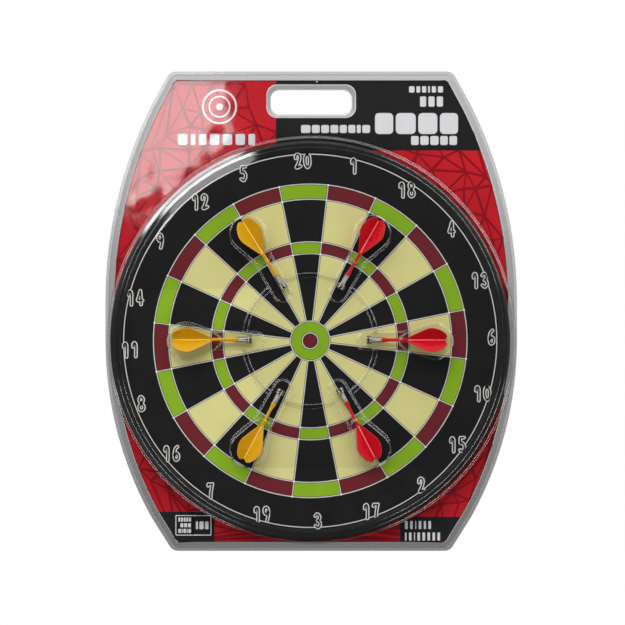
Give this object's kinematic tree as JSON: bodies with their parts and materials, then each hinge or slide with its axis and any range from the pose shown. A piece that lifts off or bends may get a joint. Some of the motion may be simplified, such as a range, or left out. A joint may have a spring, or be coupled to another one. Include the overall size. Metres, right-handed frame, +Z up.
{
  "type": "magnetic dartboard set",
  "caption": "Round magnetic dartboard with numbered sectors and short magnet-tipped darts, held on a printed card between two clear blister shells with a handle slot.",
  "frame": {"origin": "on the flat back of the pack, on the axis behind the bull", "axes": "+Z up, +Y out of the back, the board's face looks along -Y, +X to the right as seen from the front"},
  "size_m": [0.4248, 0.0488, 0.4947],
  "materials": {
    "clear_pvc": "clear thermoformed sheet",
    "printed_card": "gloss-varnished print",
    "black_plastic": "satin moulded",
    "face_film": "printed film, satin",
    "steel": "zinc plated",
    "fibreboard": "raw hardboard",
    "rubber": "matte",
    "nickel": "bright nickel plate",
    "yellow_plastic": "moulded, slightly translucent",
    "red_plastic": "moulded, slightly translucent"
  },
  "bodies": {
    "pack_back": {"blister_back": "clear_pvc", "card": "printed_card"},
    "board": {"rim": "black_plastic", "face_print": "face_film", "steel_sheet": "steel", "core_board": "fibreboard", "back_cover": "fibreboard", "hanger_plate": "steel", "hanger_rivet_1": "steel", "hanger_rivet_2": "steel", "back_screw_1": "steel", "back_screw_2": "steel", "back_screw_3": "steel", "back_screw_4": "steel", "back_screw_5": "steel", "back_screw_6": "steel", "wall_pad_1": "rubber", "wall_pad_2": "rubber", "wall_pad_3": "rubber", "wall_pad_4": "rubber"},
    "hanger": {"hanger_ring": "nickel"},
    "pack_front": {"blister_front": "clear_pvc"},
    "dart_1": {"dart_magnet_1": "nickel", "dart_barrel_1": "nickel", "dart_shaft_1": "red_plastic"},
    "dart_2": {"dart_magnet_2": "nickel", "dart_barrel_2": "nickel", "dart_shaft_2": "red_plastic"},
    "dart_3": {"dart_magnet_3": "nickel", "dart_barrel_3": "nickel", "dart_shaft_3": "yellow_plastic"},
    "dart_4": {"dart_magnet_4": "nickel", "dart_barrel_4": "nickel", "dart_shaft_4": "yellow_plastic"},
    "dart_5": {"dart_magnet_5": "nickel", "dart_barrel_5": "nickel", "dart_shaft_5": "yellow_plastic"},
    "dart_6": {"dart_magnet_6": "nickel", "dart_barrel_6": "nickel", "dart_shaft_6": "red_plastic"}
  },
  "joints": [
    {"name": "board_lift", "type": "slide", "parent": "pack_back", "child": "board", "axis": [0, -1, 0], "range_m": [0, 0.08]},
    {"name": "front_lift", "type": "slide", "parent": "pack_back", "child": "pack_front", "axis": [0, -1, 0], "range_m": [0, 0.16]},
    {"name": "ring_swing", "type": "hinge", "parent": "board", "child": "hanger", "pos_m": [-0.00728, -0.0092, 0.14987], "axis": [0.9991, 0, 0.0419], "range_deg": [0, 170]},
    {"name": "dart_1_lift", "type": "slide", "parent": "board", "child": "dart_1", "axis": [0, -1, 0], "range_m": [0, 0.048]},
    {"name": "dart_2_lift", "type": "slide", "parent": "board", "child": "dart_2", "axis": [0, -1, 0], "range_m": [0, 0.048]},
    {"name": "dart_3_lift", "type": "slide", "parent": "board", "child": "dart_3", "axis": [0, -1, 0], "range_m": [0, 0.048]},
    {"name": "dart_4_lift", "type": "slide", "parent": "board", "child": "dart_4", "axis": [0, -1, 0], "range_m": [0, 0.048]},
    {"name": "dart_5_lift", "type": "slide", "parent": "board", "child": "dart_5", "axis": [0, -1, 0], "range_m": [0, 0.048]},
    {"name": "dart_6_lift", "type": "slide", "parent": "board", "child": "dart_6", "axis": [0, -1, 0], "range_m": [0, 0.048]}
  ],
  "couplings": [
    {"joint": "front_lift", "follows": "board_lift", "ratio": 2},
    {"joint": "ring_swing", "follows": "board_lift", "rad_per_m": 37},
    {"joint": "dart_1_lift", "follows": "board_lift", "ratio": 0.6},
    {"joint": "dart_2_lift", "follows": "board_lift", "ratio": 0.6},
    {"joint": "dart_3_lift", "follows": "board_lift", "ratio": 0.6},
    {"joint": "dart_4_lift", "follows": "board_lift", "ratio": 0.6},
    {"joint": "dart_5_lift", "follows": "board_lift", "ratio": 0.6},
    {"joint": "dart_6_lift", "follows": "board_lift", "ratio": 0.6}
  ]
}
